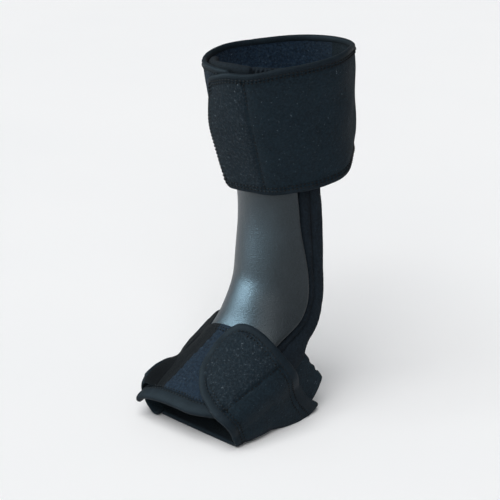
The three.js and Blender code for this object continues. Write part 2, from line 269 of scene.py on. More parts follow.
def thread_material():
    """Dark twisted sewing thread."""
    m = Shader("thread")
    twist = m.noise(1500, 2, 0.5)
    tone = m.mix(twist, linear("#020304"), linear("#0e1216"))
    normal, rough = m.bump(twist, 0.3, 0.0003), m.spread(twist, 0, 1, 0.6, 0.9)
    return m.finish(tone, normal, rough, Specular_IOR_Level=0.2)


def tape_material():
    """Stretch binding tape: fine ribs across a smooth face, a little paler where it is rubbed."""
    m = Shader("binding_tape")
    ribs = m.noise(1300, 2, 0.5)
    wear = m.noise(60, 4, 0.6)
    tone = m.mix(m.spread(ribs, 0.3, 0.7), linear("#0b1217"), linear("#18232b"))
    tone = m.mix(m.spread(wear, 0.45, 0.8, 0, 0.4), tone, linear("#242e36"))
    normal = m.bump(wear, 0.3, 0.0015, m.bump(ribs, 0.35, 0.0004))
    constants = {"Specular_IOR_Level": 0.08, "Sheen_Weight": 0.02, "Sheen_Roughness": 0.4}
    return m.finish(tone, normal, m.spread(ribs, 0.2, 0.8, 0.6, 0.78), **constants)


SHELL = shell_material()
WRAP = cloth_material("wrap_fabric", "#0a1218", "#1a2831", "#67757f", 0.70, 0.7, 0.06)
TAB = cloth_material("brushed_fabric", "#0a1117", "#1a2730", "#76838d", 0.68, 1.0, 0.16)
LOOP = cloth_material("loop_fabric", "#07101a", "#203244", "#74889a", 0.71, 1.0, 0.13, cell=700)
# A near-black fabric for the loop panel's strip beside the inner wing and for the wing's folded inner
# face: painted shade standing in for the shadow in the valley between them.
VALLEY_SHADE_FABRIC = cloth_material("painted_valley_shade", "#030405", "#0b0d10", "#2c343b", 0.78, 0.3, 0.02)
LINER = cloth_material("liner_fabric", "#0a0f14", "#1a232b", "#4b555f", 0.77, 0.3, 0.04, cell=1100)
TAPE = tape_material()
HOOK = hook_material()
THREAD = thread_material()


# ---------------------------------------------------------------- building pieces
STITCH_PITCH = 3.6
CLOTH_FRAMES = 14


def mesh_object(name, points, faces, material):
    mesh = bpy.data.meshes.new(name)
    mesh.from_pydata(np.asarray(points).reshape(-1, 3).tolist(), [], [list(map(int, f)) for f in faces])
    made = bmesh.new()
    made.from_mesh(mesh)
    bmesh.ops.recalc_face_normals(made, faces=made.faces)
    made.to_mesh(mesh)
    made.free()
    mesh.shade_smooth()
    mesh.materials.append(material)
    obj = bpy.data.objects.new(name, mesh)
    bpy.context.scene.collection.objects.link(obj)
    return obj


def subdivide(obj):
    """Rounds the piece off with one level of subdivision."""
    modifier = obj.modifiers.new("surface", "SUBSURF")
    modifier.levels = modifier.render_levels = 1
    return obj


def slab(name, outer, inner, material, open_sides=()):
    """A sheet between two grids of points, closed along its rim except at its open sides, "first" and
    "last" column, where another sheet carries on."""
    rows, columns = outer.shape[:2]
    count = rows * columns
    i, j = np.meshgrid(np.arange(rows - 1), np.arange(columns - 1), indexing="ij")
    corner = i * columns + j
    face = np.stack([corner, corner + columns, corner + columns + 1, corner + 1], -1).reshape(-1, 4)
    sides = [[(0, k) for k in range(columns)], [(rows - 1, k) for k in range(columns)]]
    if "first" not in open_sides:
        sides.append([(k, 0) for k in range(rows)])
    if "last" not in open_sides:
        sides.append([(k, columns - 1) for k in range(rows)])
    faces = face.tolist() + (face[:, ::-1] + count).tolist()
    for side in sides:
        rim = [r * columns + c for r, c in side]
        faces += [[p, q, q + count, p + count] for p, q in zip(rim, rim[1:])]
    points = np.concatenate([outer.reshape(-1, 3), inner.reshape(-1, 3)])
    return subdivide(mesh_object(name, points, faces, material))


def two_fabrics(panel, there, material):
    """Gives a slab's outer face another material where there is true, a grid as large as the slab's."""
    panel.data.materials.append(material)
    for face, other in zip(panel.data.polygons, there[:-1, :-1].ravel()):
        face.material_index = int(other)


def rounding(u, share):
    """From 0 at both ends of u to 1 a share of the way in, as a quarter circle."""
    t = np.clip(np.minimum(u, 1 - u) / share, 0, 1)
    return np.sqrt(np.clip(1 - (1 - t) ** 2, 0, 1))


def roll(name, edge, inner, d, half_height, material, seed, squareness=2.6, ends=(4, 4)):
    """A rolled strip along a panel's edge. edge and inner are its two borders as (s, a) arrays and d the
    offset of its middle. Each end closes over a length from ends, or stays open where that is 0."""
    sides = 16
    here, there = leg(*edge, d), leg(*inner, d)
    centre = (here + there) / 2
    side = there - here
    width = np.linalg.norm(side, axis=1)
    side /= width[:, None]
    up = outward((edge[0] + inner[0]) / 2, (edge[1] + inner[1]) / 2)
    pucker = 1 + 0.06 * ripple(centre / MM, seed, 16, 5)
    run = np.concatenate([[0], np.cumsum(np.linalg.norm(np.diff(centre, axis=0), axis=1))]) / MM
    taper = np.ones(len(run))
    for length, distance in zip(ends, (run, run[-1] - run)):
        if length:
            taper *= np.sqrt(np.clip(1 - (1 - np.clip(distance / length, 0, 1)) ** 2, 0.02, 1))
    angle = np.arange(sides) * 2 * math.pi / sides
    x, y = (np.sign(f(angle)) * np.abs(f(angle)) ** (2 / squareness) for f in (np.cos, np.sin))
    wide = (width / 2 * taper)[:, None, None] * x[None, :, None] * side[:, None, :]
    high = (half_height * MM * taper * pucker)[:, None, None] * y[None, :, None] * up[:, None, :]
    rings = centre[:, None, :] + wide + high
    k = np.arange(sides)
    after = (k + 1) % sides
    band = np.stack([k, after, sides + after, sides + k], -1)
    faces = []
    for first in range(0, (len(centre) - 1) * sides, sides):
        faces += (first + band).tolist()
    if ends[0]:
        faces.append(list(range(sides)))
    if ends[1]:
        faces.append(list(range(len(centre) * sides - sides, len(centre) * sides)))
    return mesh_object(name, rings, faces, material)


def along(points, pitch):
    """Places every pitch along a line of points, and the direction of the line there."""
    run = np.concatenate([[0], np.cumsum(np.linalg.norm(np.diff(points, axis=0), axis=1))])
    at = np.linspace(pitch / 2, run[-1] - pitch / 2, max(int(run[-1] / pitch), 2))
    place, ahead, back = (
        np.stack([np.interp(at + offset, run, points[:, k]) for k in range(3)], -1)
        for offset in (0, pitch / 4, -pitch / 4)
    )
    way = ahead - back
    return place, way / np.linalg.norm(way, axis=1, keepdims=True)


def on_leg(s, a, d):
    """A row for stitches: points on the leg and the way out of it."""
    s, a, d = np.broadcast_arrays(*(np.asarray(x, float) for x in (s, a, d)))
    return leg(s, a, d), outward(s, a)


def stitches(name, rows, length=2.3, thick=1.4):
    """Rows of thread stitches as one mesh. Each row is (points, up). A stitch is an arch of four rings:
    where each is along it, how thick it is and how far it sinks in."""
    points, faces, first = [], [], 0
    corners = 6
    ring = np.arange(corners) * 2 * math.pi / corners
    arch = [(-1, 0.3, -0.5), (-0.5, 1, 0), (0.5, 1, 0), (1, 0.3, -0.5)]
    for line, up in rows:
        place, way = along(line, STITCH_PITCH * MM)
        nearest = np.linspace(0, len(up) - 1, len(place)).round().astype(int)
        for p, w, u in zip(place, way, up[nearest]):
            across = np.cross(w, u)
            across /= np.linalg.norm(across)
            lift = np.cross(across, w)
            for t, radius, sink in arch:
                circle = np.cos(ring)[:, None] * across + np.sin(ring)[:, None] * lift
                middle = p + w * (t * length / 2 * MM) + lift * (sink * thick * MM)
                points.append(middle + circle * (thick / 2 * MM * radius))
            for start in range(first, first + (len(arch) - 1) * corners, corners):
                for k in range(corners):
                    a, b = start + k, start + (k + 1) % corners
                    faces.append([a, b, b + corners, a + corners])
            end = first + (len(arch) - 1) * corners
            faces += [[first + k for k in range(corners)], [end + k for k in range(corners)]]
            first = end + corners
    return dress(mesh_object(name, np.concatenate(points), faces, THREAD), "binding")


def dress(obj, slot, *nodes):
    """Hides the model's parts for the nodes that the piece stands for. slot is not used."""
    if nodes:
        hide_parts(*nodes)
    return obj


def steps(start, stop, size):
    """Even values from start to stop, about size apart."""
    return np.linspace(start, stop, max(int(abs(stop - start) / size), 2) + 1)


def bend(pieces, name, before, after):
    """Finds the joint and the way from before to after across its axis, which nothing uses, and bakes
    each piece's transform into its mesh. The pieces don't follow the joint or turn."""
    joint = next(j for j in frame["joints"] if j["name"] == name)
    axis = Vector(joint["axis"]).normalized()
    way = Vector(after) - Vector(before)
    way -= axis * way.dot(axis)
    way.normalize()
    for piece in pieces:
        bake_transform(piece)


def inflate(obj, voxel, pressure, cap):
    """Blows the piece up as closed cloth. No point moves further than cap, in millimetres."""
    remesh = obj.modifiers.new("even", "REMESH")
    remesh.mode = "VOXEL"
    remesh.voxel_size = voxel * MM
    obj.data = baked(obj)
    start = coordinates(obj.data)
    cloth = obj.modifiers.new("cloth", "CLOTH")
    cloth.settings.use_pressure = True
    cloth.settings.uniform_pressure_force = pressure
    cloth.settings.effector_weights.gravity = 0
    cloth.settings.shrink_min = -0.06
    cloth.settings.quality = 5
    for number in range(1, CLOTH_FRAMES + 1):
        bpy.context.scene.frame_set(number)
    obj.data = baked(obj)
    bpy.context.scene.frame_set(1)
    move = coordinates(obj.data) - start
    far = np.linalg.norm(move, axis=1, keepdims=True)
    move *= np.minimum(1, cap * MM / np.maximum(far, 1e-9))
    obj.data.vertices.foreach_set("co", (start + move).ravel())
    obj.data.shade_smooth()
    return subdivide(obj)


def baked(obj):
    """The mesh with the modifiers applied. They are taken off the object."""
    made = bpy.data.meshes.new_from_object(obj.evaluated_get(bpy.context.evaluated_depsgraph_get()))
    obj.modifiers.clear()
    return made


def coordinates(mesh):
    flat = np.empty(len(mesh.vertices) * 3)
    mesh.vertices.foreach_get("co", flat)
    return flat.reshape(-1, 3)


# ---------------------------------------------------------------- shell
SHELL_TOP, SHELL_END = 20, FOOT + 28
shell_edge = keyed([
    (SHELL_TOP, 42), (110, 44.5), (145, 46), (163, 49), (SHANK - 14, 59.5), (SHANK + 8, 63.5),
    (SHANK + 32, 63), (SHANK + 47, 58), (SHANK + 62, 49.5), (FOOT, 42), (SHELL_END, 38),
])


def eased(points, s, reach):
    """A grid of points with its changes of curvature along s spread over reach, and its ends kept."""
    spread = np.minimum(reach, np.minimum(s - s[0], s[-1] - s) + 0.1)[:, None]
    weight = np.exp(-(((s[:, None] - s[None, :]) / spread) ** 2))
    weight /= weight.sum(1, keepdims=True)
    return np.einsum("ik,kjc->ijc", weight, points)


def make_shell():
    s = steps(SHELL_TOP, SHELL_END, 2.5)
    border = np.array([0, 0.004, 0.012, 0.024, 0.04])
    v = np.concatenate([border, np.linspace(0.06, 0.94, 44), 1 - border[::-1]])
    S, V = np.meshgrid(s, v, indexing="ij")
    A = shell_edge(S) * (2 * V - 1)
    lip = 0.5 * bell(np.minimum(V, 1 - V), 0, 0.035) * (1 - smooth(S, SHANK + 50, SHANK + 70))
    half = 0.3 + 1.2 * rounding(V, 0.03)
    outer, inner = (eased(leg(S, A, 8.6 + lip + way * half), s, 11) for way in (1, -1))
    made = slab("shell_moulding", outer, inner, SHELL)
    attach(dress(made, "shell", "dorsal_shell"), "splint")


# ---------------------------------------------------------------- liner
LINER_TOP, LINER_END = 18, FOOT + 38
SIDE_END = SHANK + 75
GUSSET_TOP, GUSSET_START, GUSSET_END = 2.2, 22.6, 60


def liner_margin(s):
    """The flat liner that shows beside the shell, in degrees."""
    return 12 - 4 * smooth(s, 150, 200)


def liner_seam(s):
    return shell_edge(s) + liner_margin(s)


def roll_width(s):
    return 11 + 9 * smooth(s, SHANK + 45, SHANK + 62)


def make_liner():
    S, V = np.meshgrid(steps(LINER_TOP, LINER_END, 2.5), np.linspace(0, 1, 61), indexing="ij")
    reach = lerp(liner_seam(S), shell_edge(S), smooth(S, SIDE_END - 10, SIDE_END + 14))
    A = reach * (2 * V - 1)
    beside = np.abs(A) - shell_edge(S)
    across = beside / liner_margin(S)
    bulge = 1.5 * smooth(across, -0.1, 0.3) * np.sqrt(np.clip(1 - ((across - 0.42) / 0.68) ** 2, 0, 1))
    uneven = 0.3 * ripple(skin(S, A), 5, 30, 10) * smooth(beside, 0, 3)
    edge = 1.5 * (1 - rounding(V, 0.02))
    made = slab("liner_padding", leg(S, A, 5.3 + bulge + uneven - edge), leg(S, A, 0.2 + edge), LINER)
    dress(made, "liner", "liner_pad", "liner_margin_lateral", "liner_margin_medial")
    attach(made, "splint")


def make_liner_rolls():
    """The padded rolls along the liner's side edges."""
    s = steps(LINER_TOP + 2, SIDE_END, 2)
    for side, sign in (("lateral", 1), ("medial", -1)):
        edge, inner = (s, sign * (liner_seam(s) + roll_width(s))), (s, sign * (liner_seam(s) - 2.2))
        name = f"liner_roll_{side}_padding"
        made = roll(name, edge, inner, 4.4, 3.7, LINER, 8, squareness=2.4, ends=(5, 7))
        inflate(made, 2.2, 3.0, 1.2)
        dress(made, "liner", "liner_roll_" + side)
        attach(made, "splint")
        row = on_leg(s, sign * (liner_seam(s) - 3.2), 6.9)
        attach(stitches("liner_seam_" + side, [row], length=1.6, thick=0.6), "splint")


def make_collar():
    """The rolled upper end of the liner, and its gathered elastic part."""
    a = steps(-58, 22.3, 1.5)
    low, high = 11 - 9 * smooth(a, -60, 10), np.full_like(a, LINER_TOP - 0.3)
    made = roll("collar_roll", (low, a), (high, a), 4.2, 4.2, LINER, 3, squareness=2.4, ends=(5, 3))
    inflate(made, 2.0, 3.0, 1.2)
    dress(made, "liner", "liner_collar")
    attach(made, "splint")
    # the gathers, from the end of the roll round to the outer side
    s, a = np.linspace(GUSSET_TOP, LINER_TOP - 0.4, 22), steps(GUSSET_START, GUSSET_END, 0.35)
    S, A = np.meshgrid(s, a, indexing="ij")
    t = (S - GUSSET_TOP) / (LINER_TOP - 2.6)
    ribs = 0.5 + 0.5 * np.cos(2 * math.pi * (A / 3.4 + t * 1.2))
    across = rounding(t, 0.45)
    body = 3.0 * across * rounding((A - GUSSET_START) / (GUSSET_END - GUSSET_START), 0.05)
    outer = 4.3 + body + 1.9 * (ribs - 0.2) * across
    made = slab("collar_gathers", leg(S, A, outer), leg(S, A, 4.0 - body), LINER)
    dress(made, "liner", "collar_gusset")
    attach(made, "splint")


# ---------------------------------------------------------------- calf wrap
calf_top = keyed([
    (-106, 8), (-50, 8), (-32, 6.5), (0, 4.5), (18, 4), (35, 1), (50, -2), (98, -7), (136, -2), (180, 2),
    (256, 8),
])
WING_END, CALF_SEAM, FLAP_FOLD = 6, 18, 60
TAB_TOP = float(calf_top(CALF_SEAM))
CALF_EDGE = 6.0
CALF_THICK = 3.1  # the padded panel
TAPE_HALF, TAPE_SINK = 2.1, 1.7  # half the binding's height, and how far its middle is under the face
CALF_ROWS = np.concatenate([
    np.linspace(0, 0.12, 10), np.linspace(0.135, 0.865, 40), np.linspace(0.88, 1, 10),
])


def calf_start(a):
    """The wrap's top edge, at angles from -180 to 180."""
    return calf_top(np.where(np.asarray(a) < -106, np.asarray(a) + 360, a))


def calf_end(a):
    return 122 - 12 * (1 - np.cos(np.radians(a)))


def calf_tip(s):
    """The angle of the tab's free edge."""
    return -17 - 10 * smooth(s, 0, 75) + 5 * smooth(s, 80, 130)


def calf_inner(a):
    """The offset of the wrap's inner face, which comes down from the shell to the calf at the sides."""
    around = np.abs(np.where(np.asarray(a) > 180, np.asarray(a) - 360, a))
    return lerp(10.4, 0.5, smooth(around, 82, 125))


def flap_inner(a):
    return calf_inner(a) + 3.7 * (1 - smooth(a, 22, 48)) + 0.4 * (1 - smooth(a, 8, 20))


def calf_swell(s, a, from_edge):
    """How far the padded wrap's outer face stands out from its plain thickness."""
    puff = 1.1 * smooth(from_edge, 3, 26)
    groove = 0.7 * bell(from_edge, 7.6, 1.3)
    return puff - groove + 0.75 * ripple(skin(s, a), 24, 70, 26) * smooth(from_edge, 4, 22)


def calf_bindings(name, a, outer, which, ends):
    """The tape along the wrap's top and bottom edges, and the two rows of stitches beside it."""
    pieces, rows = [], []
    for place in ("top", "bottom"):
        border = calf_start(a) if place == "top" else calf_end(a)
        way = 1 if place == "top" else -1
        inside = border + way * CALF_EDGE
        middle = outer - TAPE_SINK
        strip = roll(
            f"{name}_{place}_binding", (border, a), (inside, a), middle, TAPE_HALF, TAPE, 31, ends=ends,
        )
        pieces.append(dress(strip, "binding", f"{which}_{place}_edging"))
        rows += calf_rows(border, a, inside, a, outer)
    return pieces + [stitches(name + "_stitches", rows)]


def calf_rows(s, a, in_s, in_a, outer):
    """Rows on the tape's inner border and on the panel beside it."""
    places = ((0.8, 0.62), (1.27, 0.1))
    return [on_leg(lerp(s, in_s, t), lerp(a, in_a, t), outer + high) for t, high in places]


def make_calf_medial():
    """From the wing's end under the flap, round the inner side, to the middle of the calf."""
    a = steps(WING_END, -180, 2)
    top, bottom = calf_start(a) + CALF_EDGE - 2, calf_end(a) - CALF_EDGE + 2
    S = lerp(top, bottom, CALF_ROWS[:, None])
    A = np.broadcast_to(a, S.shape)
    from_edge = np.minimum(S - calf_start(A), calf_end(A) - S)
    under = smooth(A, -60, -30)
    swell = calf_swell(S, A, from_edge) * (1 - 0.8 * under) + 0.5 * tab_stand(S, A)
    outer, inner = leg(S, A, calf_inner(A) + CALF_THICK + swell), leg(S, A, calf_inner(A))
    panel = slab("calf_wrap_medial", outer, inner, LOOP, ("last",))
    dress(panel, "loop", "calf_wing")
    edges = calf_bindings("calf_medial", a, calf_inner(a) + CALF_THICK, "calf_wing", (4, 0))
    bend([panel, *edges], "calf_rear_open", leg(60, -95, 8), leg(60, -115, 8))


def make_calf_lateral():
    """The back and the outer side, to the fold in the flap."""
    a = steps(180, FLAP_FOLD, 2)
    top, bottom = calf_start(a) + CALF_EDGE - 2, calf_end(a) - CALF_EDGE + 2
    S = lerp(top, bottom, CALF_ROWS[:, None])
    A = np.broadcast_to(a, S.shape)
    outer, inner = leg(S, A, calf_outer(S, A)), leg(S, A, calf_inner(A))
    panel = slab("calf_wrap_lateral", outer, inner, WRAP, ("first", "last"))
    dress(panel, "wrap", "calf_back")
    edges = calf_bindings("calf_lateral", a, flap_inner(a) + CALF_THICK, "calf_back", (0, 0))
    bend([panel, *edges], "calf_flap_open", leg(60, 110, 8), leg(60, 90, 8))


def tab_stand(s, a):
    """How far the tab stands off the wing under it."""
    return 6 * smooth(CALF_SEAM - np.asarray(a), 8, 42) * smooth(s, 0, 60)


def tab_drop(s, a):
    """How far the tab's upper edge slopes down towards its tip."""
    return 8 * smooth(CALF_SEAM - np.asarray(a), 8, 34) * (1 - smooth(s, 0, 85))


def calf_outer(S, A):
    """The outer offset from the middle of the calf, over the outer side, to the tab's tip."""
    from_edge = np.minimum(S - calf_start(A), calf_end(A) - S)
    fold = 1.1 * bell(A, FLAP_FOLD + 6 + 2 * np.sin(S / 25), 5) * smooth(from_edge, 2, 20)
    return flap_inner(A) + CALF_THICK + tab_stand(S, A) + calf_swell(S, A, from_edge) - fold


def make_calf_front():
    """The flap's front part and its tab, one panel with a sewn line across it."""
    corner, low = 10.0, float(calf_end(CALF_SEAM))
    unit = (CALF_SEAM - float(calf_tip(60))) * 1.15
    flat = steps(FLAP_FOLD, CALF_SEAM, 1.6)
    out = np.concatenate([np.linspace(0.04, 0.8, 20), np.linspace(0.82, 1 - 3 / unit, 10)])
    from_tip = (1 - out) * unit
    inset = corner - np.sqrt(np.clip(corner**2 - np.clip(corner - from_tip, 0, None) ** 2, 0, None))
    inset = np.concatenate([np.zeros(len(flat)), inset])
    top = np.concatenate([calf_start(flat), np.full(len(out), TAB_TOP)]) + inset + CALF_EDGE - 2
    bottom = np.concatenate([calf_end(flat), np.full(len(out), low)]) - inset - CALF_EDGE + 2
    S = lerp(top, bottom, CALF_ROWS[:, None])
    A = np.broadcast_to(np.concatenate([flat, np.zeros(len(out))]), S.shape).copy()
    A[:, len(flat) :] = CALF_SEAM + (calf_tip(S[:, len(flat) :]) - CALF_SEAM) * out
    seam = 1.3 * bell(A, CALF_SEAM, 1.0)
    pucker = 0.5 * np.sin(S / 1.9) * bell(A, CALF_SEAM - 3, 3) * bell(S, 22, 9)
    pillow = 0.5 * smooth(A, CALF_SEAM, CALF_SEAM - 7)
    outer = calf_outer(S, A) - seam + pucker + pillow
    inner = flap_inner(A) + tab_stand(S, A)
    moved = S + tab_drop(S, A)
    panel = slab("calf_wrap_front", leg(moved, A, outer), leg(moved, A, inner), WRAP, ("first",))
    two_fabrics(panel, A < CALF_SEAM - 0.5, TAB)
    dress(panel, "wrap", "calf_flap", "calf_tab")

    edge, inner = calf_border(flat, low, corner, unit)
    d = flap_inner(edge[1]) + CALF_THICK + tab_stand(*edge)
    edge, inner = ((s + tab_drop(s, a), a) for s, a in (edge, inner))
    tape = roll("calf_front_binding", edge, inner, d - TAPE_SINK, TAPE_HALF, TAPE, 31, ends=(0, 0))
    dress(tape, "binding", "calf_flap_top_edging", "calf_flap_bottom_edging", "calf_tab_edging")
    rows = calf_rows(*edge, *inner, d + 0.6 * smooth(CALF_SEAM - edge[1], 0, 6))
    seam_s = steps(TAB_TOP + CALF_EDGE + 2, low - CALF_EDGE - 2, 2)
    rows.append(on_leg(seam_s, CALF_SEAM, flap_inner(CALF_SEAM) + 3.2))
    thread = stitches("calf_front_stitches", rows)
    before, after = leg(60, CALF_SEAM + 8, 18), leg(60, CALF_SEAM - 8, 18)
    bend([panel, tape, thread], "calf_tab_peel", before, after)


def calf_border(flat, low, corner, unit):
    """The flap's edge from the fold, round the tab and back to the fold, and the line inside it."""
    inside = corner - CALF_EDGE
    middle = 1 - corner / unit
    side = np.linspace(0, middle, 24)[1:]
    turn = np.linspace(0, math.pi / 2, 12)[1:]
    points = [(TAB_TOP, o, TAB_TOP + CALF_EDGE, o) for o in side]
    for t in turn:
        c, q = 1 - math.cos(t), math.sin(t)
        s, o = TAB_TOP + corner * c, middle + corner / unit * q
        points.append((s, o, TAB_TOP + CALF_EDGE + inside * c, middle + inside / unit * q))
    straight = np.linspace(TAB_TOP + corner, low - corner, 40)[1:-1]
    tip = [(s, 1, s, 1 - CALF_EDGE / unit) for s in straight]
    mirrored = [(TAB_TOP + low - s, o, TAB_TOP + low - si, oi) for s, o, si, oi in points[::-1]]
    s, o, si, oi = np.array(points + tip + mirrored).T
    a = CALF_SEAM + (calf_tip(s) - CALF_SEAM) * o
    ai = CALF_SEAM + (calf_tip(si) - CALF_SEAM) * oi
    top, bottom = calf_start(flat), calf_end(flat[::-1])
    edge = np.concatenate([top, s, bottom]), np.concatenate([flat, a, flat[::-1]])
    inner_s = np.concatenate([top + CALF_EDGE, si, bottom - CALF_EDGE])
    return edge, (inner_s, np.concatenate([flat, ai, flat[::-1]]))


# ---------------------------------------------------------------- foot wrap
FOOT_BACK, FOOT_FRONT, FOOT_SEAM, FOOT_TIP = SHANK + 64, FOOT + 40, 58, -1
FOOT_EDGE, TAB_CORNER, WALL_FOLD = 8.0, 30.0, 96.0
FOOT_TAPE_HALF, FOOT_TAPE_SINK = 2.3, 1.9  # as for the calf wrap's binding
LOOP_BACK, TOE_WIDTH = SHANK + 76, 12
FOOT_ROWS = np.linspace(0, 1, 61)


def toe_edge(a):
    return FOOT + 57 - 12 * smooth(a, 10, 75)


def lean(a):
    """How far forward the flap has leaned as it climbs over the side of the foot."""
    return 11 * smooth(a, 5, 60) * (1 - smooth(a, 66, 122))


def sole_angle(s):
    """The angle at which the sections reach the edge of the sole, 45 mm out in front and 38 behind."""
    x = lerp(38, 45, (s - FOOT_BACK) / (FOOT_FRONT - FOOT_BACK)) * MM
    low, high = np.full_like(s, 100.0), np.full_like(s, 178.0)
    for _ in range(30):
        middle = (low + high) / 2
        outside = leg(s, middle, 2)[..., 0] > x
        low, high = np.where(outside, middle, low), np.where(outside, high, middle)
    return low


def make_loop_panel():
    """The fuzzy panel over the instep that the tab sticks to."""
    V, U = np.meshgrid(np.linspace(0, 1, 45), np.linspace(0, 1, 61), indexing="ij")
    A = lerp(-52, 62, U)
    S = lerp(LOOP_BACK, toe_edge(A) - 11, V)
    valley = lerp(-17, -32, (S - FOOT + 12) / 55)
    dip = 1.2 * smooth(valley - A, -2, 7)
    soft = 0.5 * ripple(skin(S, A), 41, 40, 14) * smooth(V, 0, 0.2) * (1 - 0.8 * smooth(A, 0, 15))
    hem = 0.5 * bell(V, 0.05, 0.03)
    outer = 13.0 - dip - 0.8 * smooth(A, 40, 54) + soft + hem - 1.2 * (1 - rounding(V, 0.02))
    made = slab("foot_loop_fabric", leg(S, A, outer), leg(S, A, np.minimum(10.5, outer - 1.5)), LOOP)
    # The strip on the medial side of the valley line gets the near-black fabric: painted shade for the
    # shadow in the valley beside the inner wing.
    two_fabrics(made, A < valley, VALLEY_SHADE_FABRIC)
    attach(dress(made, "loop", "foot_loop_panel"), "splint")
    a = steps(-20, 46, 2)
    rows = [on_leg(LOOP_BACK + k, a, 13.5) for k in (3.2, 6)]
    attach(stitches("foot_loop_hem", rows), "splint")


def make_toe_binding():
    """The wide tape along the wrap's open end over the toes."""
    a = steps(-88, 70, 1.5)
    start = toe_edge(a)
    edge, inner = (start, a), (start - TOE_WIDTH, a)
    tape = roll("toe_binding", edge, inner, 9.8, 3.4, TAPE, 44, squareness=2.3, ends=(8, 6))
    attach(dress(tape, "binding", "toe_edging"), "splint")
    rows = [on_leg(start[6:-6] - k, a[6:-6], high) for k, high in ((12.2, 12.4), (9.2, 12.9))]
    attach(stitches("toe_stitches", rows), "splint")


# The offset of the inner wing's crest, with a notch between its two humps.
wing_crest = keyed([
    (SHANK + 58, 16), (SHANK + 64, 20), (SHANK + 70, 21), (SHANK + 82, 19), (FOOT - 7, 17.5),
    (FOOT + 5, 12.8), (FOOT + 11, 13.8), (FOOT + 17, 17.5), (FOOT + 23, 20), (FOOT + 32, 22),
    (FOOT + 41, 22), (FOOT + 47, 19),
])


def make_medial_wing():
    """The inner wing comes up from the sole, stands up along its crest and folds to the loop panel."""
    s = steps(SHANK + 58, FOOT + 46, 1.5)
    v = np.concatenate([np.linspace(0, 0.3, 16), np.linspace(0.32, 1, 34)])
    S, V = np.meshgrid(s, v, indexing="ij")
    sole = sole_angle(np.clip(s, FOOT_BACK, FOOT_FRONT))[:, None]
    crest, crest_angle = 0.3, 64
    folded = V < crest
    climb = (V - crest) / (1 - crest)
    A = -np.where(folded, lerp(46, crest_angle, V / crest), lerp(crest_angle, sole, climb))
    up = np.where(folded, smooth(V, -0.04, crest), 1 - smooth(V, 0.28, 0.72))
    low = np.where(folded, 8.6, lerp(10, 1.0, smooth(V, 0.45, 0.95)))
    soft = 0.8 * ripple(skin(S, A), 51, 45, 15) * rounding(V, 0.1)
    middle = lerp(low, wing_crest(S) - 3.5, up) + soft + 1.2
    way = (S - s[0]) / (s[-1] - s[0])
    half = 1.7 * (0.35 + 0.65 * rounding(V, 0.04)) * (0.3 + 0.7 * rounding(way, 0.02))
    outer, inner = leg(S, A, middle + half), leg(S, A, np.maximum(middle - half, 0.1))
    made = slab("foot_wing_medial", outer, inner, WRAP)
    # The folded inner face, where V is below 0.27, gets the near-black fabric: painted shade for the
    # shadow under the crest.
    two_fabrics(made, V < 0.27, VALLEY_SHADE_FABRIC)
    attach(dress(made, "wrap", "foot_medial_wing"), "splint")
    s = s[2:-2]
    a = np.full_like(s, -60.0)
    tape = roll("foot_wing_binding", (s, a), (s, a - 8), wing_crest(s) - 2.4, 2.4, TAPE, 52, ends=(6, 6))
    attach(dress(tape, "binding", "foot_medial_wing_edging"), "splint")


def make_lateral_wing():
    """The end of the inner layer that shows behind the flap, with a slightly ruffled edge."""
    V, U = np.meshgrid(np.linspace(0, 1, 33), np.linspace(0, 1, 61), indexing="ij")
    A = lerp(76, 108, U)
    notches = 0.9 * (bell(U, 0.45, 0.05) + bell(U, 0.62, 0.05))
    S = lerp(SHANK + 55, SHANK + 96, V) + notches * (1 - V) ** 4
    d = 2.1 + 0.3 * np.sin(U * math.pi * 3) * (1 - V) ** 4
    half = 1.3 * (0.35 + 0.65 * rounding(V, 0.05))
    made = slab("foot_wing_lateral", leg(S, A, d + half), leg(S, A, np.maximum(d - half, 0.1)), WRAP)
    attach(dress(made, "wrap", "foot_lateral_wing"), "splint")


def foot_seam(s):
    """The slightly wavy sewn line between the flap and its tab."""
    return FOOT_SEAM + 0.8 * np.sin(s / 9)


def foot_offsets(s, a, sole):
    """The inner and outer offset of the flap at angles from its tip to the sole's edge."""
    v = (a - FOOT_SEAM) / (sole - FOOT_SEAM)
    low = lerp(4.0, 0.5, smooth(v, 0.7, 0.88))
    inner = np.where(v > 0, lerp(14, low, smooth(a, 68, 92)), 14.4)
    thick = lerp(3.4, SOLE_Z - 0.5, smooth(v, 0.6, 1))
    from_edge = np.minimum(s - FOOT_BACK, FOOT_FRONT - s)
    puff = 1.3 * smooth(from_edge, 6, 22) * (1 - smooth(v, 0.6, 0.9))
    groove = 0.6 * bell(from_edge, 10, 1.4) * (1 - smooth(v, 0.6, 0.9))
    soft = 0.8 * ripple(skin(s, a), 71, 50, 16) * smooth(from_edge, 4, 14) * (1 - smooth(v, 0.75, 0.9))
    return inner, inner + thick + puff - groove + soft


def under_path(s, t):
    """Angles and offsets across the sole from its inner edge, t = 0, up to the wall's fold, t = 1."""
    sole, across = sole_angle(s), 0.62
    on_sole = t < across
    up = (t - across) / (1 - across)
    a = np.where(on_sole, lerp(360 - sole, sole, t / across), lerp(sole, WALL_FOLD, up))
    inner, outer = foot_offsets(s, np.minimum(a, sole), sole)
    return a, np.where(on_sole, 0.5, inner), np.where(on_sole, SOLE_Z, outer)


